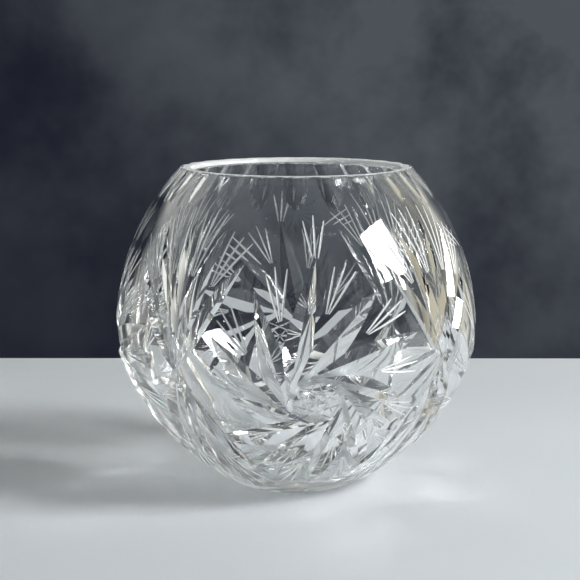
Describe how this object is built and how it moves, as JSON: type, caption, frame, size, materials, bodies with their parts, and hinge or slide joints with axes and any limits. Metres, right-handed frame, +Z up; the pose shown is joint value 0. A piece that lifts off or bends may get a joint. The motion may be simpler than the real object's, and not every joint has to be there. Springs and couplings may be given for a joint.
{
  "type": "rose bowl vase",
  "caption": "Globe-shaped rose bowl in clear cut crystal, with pinwheels and fans cut into its outside, a fluted open mouth and a flat star-cut base.",
  "frame": {"origin": "centre of the flat base, on the surface that the bowl stands on", "axes": "+Z up along the axis of the globe, out of the mouth; -Y faces the viewer and +X is to the viewer's right"},
  "size_m": [0.1496, 0.1496, 0.1319],
  "materials": {
    "crystal": "clear lead crystal, polished inside and out, with bright wheel-cut facets"
  },
  "bodies": {
    "root": {"crystal_bowl": "crystal"}
  },
  "joints": []
}
